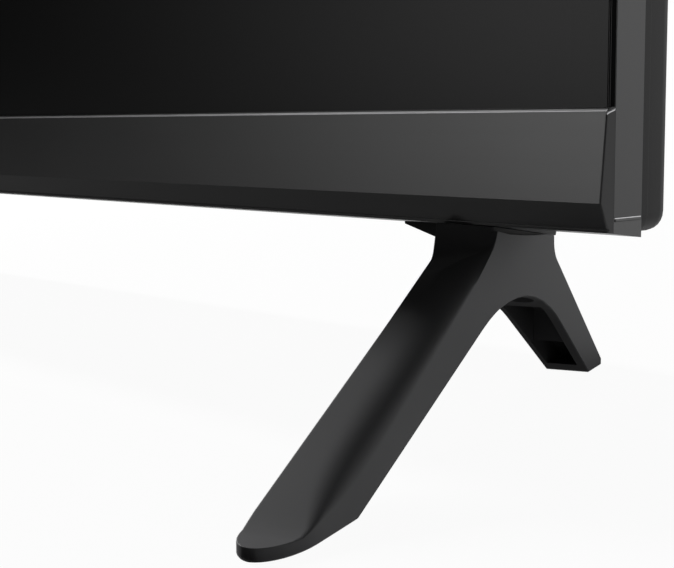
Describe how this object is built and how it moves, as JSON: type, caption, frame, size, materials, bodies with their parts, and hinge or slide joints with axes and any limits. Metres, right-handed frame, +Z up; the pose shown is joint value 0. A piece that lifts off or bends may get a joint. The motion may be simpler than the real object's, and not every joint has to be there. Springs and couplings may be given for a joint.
{
  "type": "flat screen television",
  "caption": "Flat screen television with a slim dark frame, a bevelled chin and splayed arched feet; backlit panel, boards and speakers inside.",
  "frame": {"origin": "on the table, under the middle of the box that holds the set on its feet", "axes": "+Z up, +X to the right as a viewer sees the screen, the screen faces -Y"},
  "size_m": [0.7222, 0.1677, 0.47],
  "materials": {
    "frame_plastic": "fine grained dark grey moulding",
    "chin_plastic": "satin dark grey with a brushed look",
    "screen": "near black, low gloss anti-glare face",
    "panel_glass": "dark panel glass",
    "foam": "soft black foam",
    "inner_plastic": "dark grey moulding",
    "film": "milky optical film",
    "diffuser": "milky white sheet",
    "reflector_white": "bright white sheet",
    "lens_clear": "clear acrylic",
    "lamp_chip": "yellow phosphor",
    "bar_white": "white lacquered aluminium",
    "chassis_steel": "galvanised sheet",
    "circuit_board": "green solder mask",
    "film_amber": "amber flexible circuit",
    "ribbon_white": "white ribbon",
    "chip_black": "black moulded package",
    "sink_aluminium": "plain extruded",
    "tin_plate": "tinned sheet",
    "contact_brass": "plated",
    "power_board": "tan laminate",
    "transformer_tape": "yellow winding tape",
    "capacitor_sleeve": "shrunk sleeve",
    "inlet_plastic": "black moulding",
    "contact_steel": "nickel plated",
    "lead_red": "insulated leads",
    "speaker_plastic": "black moulding",
    "basket_steel": "dark pressed steel",
    "cone_paper": "black coated paper",
    "lens_dark": "dark red window",
    "plunger_plastic": "red plunger",
    "key_plastic": "satin black",
    "cover_plastic": "grained black moulding",
    "post_steel": "zinc plated",
    "screw_steel": "zinc plated",
    "screw_black": "black oxide",
    "foot_plastic": "fine grained black moulding",
    "pad_rubber": "rubber"
  },
  "bodies": {
    "cabinet": {"bezel_frame": "frame_plastic", "chin": "chin_plastic", "screen_glass": "screen", "panel_rear_glass": "panel_glass", "panel_gasket": "foam", "inner_frame": "inner_plastic", "prism_film": "film", "diffuser_film": "film", "diffuser_plate": "diffuser", "reflector": "reflector_white", "lamp_lenses": "lens_clear", "lamp_chips": "lamp_chip", "light_bars": "bar_white", "backlight_chassis": "chassis_steel", "source_board": "circuit_board", "drive_films": "film_amber", "signal_cable": "ribbon_white", "main_board": "circuit_board", "main_chips": "chip_black", "heat_sink": "sink_aluminium", "tuner_can": "tin_plate", "video_sockets": "tin_plate", "data_socket": "tin_plate", "network_socket": "chip_black", "antenna_socket": "contact_brass", "wireless_module": "circuit_board", "power_board": "power_board", "transformer": "transformer_tape", "power_capacitors": "capacitor_sleeve", "power_heat_sinks": "sink_aluminium", "mains_inlet": "inlet_plastic", "mains_pins": "contact_steel", "power_leads": "lead_red", "left_speaker_box": "speaker_plastic", "left_speaker_driver": "basket_steel", "right_speaker_box": "speaker_plastic", "right_speaker_driver": "basket_steel", "speaker_leads": "lead_red", "control_board": "circuit_board", "control_leads": "ribbon_white", "infrared_receiver": "chip_black", "infrared_lens": "lens_dark", "key_switch": "chip_black", "rear_cover": "cover_plastic", "wall_mount_posts": "post_steel", "foot_brackets": "post_steel", "bracket_screws": "screw_steel", "board_screws": "screw_steel", "cover_screws": "screw_black", "left_foot": "foot_plastic", "right_foot": "foot_plastic", "foot_pads": "pad_rubber", "foot_screws": "screw_black"},
    "power_key": {"power_key": "key_plastic", "key_plunger": "plunger_plastic"},
    "left_cone": {"left_speaker_cone": "cone_paper"},
    "right_cone": {"right_speaker_cone": "cone_paper"}
  },
  "joints": [
    {"name": "key_press", "type": "slide", "parent": "cabinet", "child": "power_key", "axis": [0, 0, 1], "range_m": [0, 0.0006], "stiffness_N_per_m": 500, "springref_m": -0.002},
    {"name": "left_cone_stroke", "type": "slide", "parent": "cabinet", "child": "left_cone", "axis": [0, 0, 1], "range_m": [-0.001, 0.001], "stiffness_N_per_m": 800},
    {"name": "right_cone_stroke", "type": "slide", "parent": "cabinet", "child": "right_cone", "axis": [0, 0, 1], "range_m": [-0.001, 0.001], "stiffness_N_per_m": 800}
  ]
}
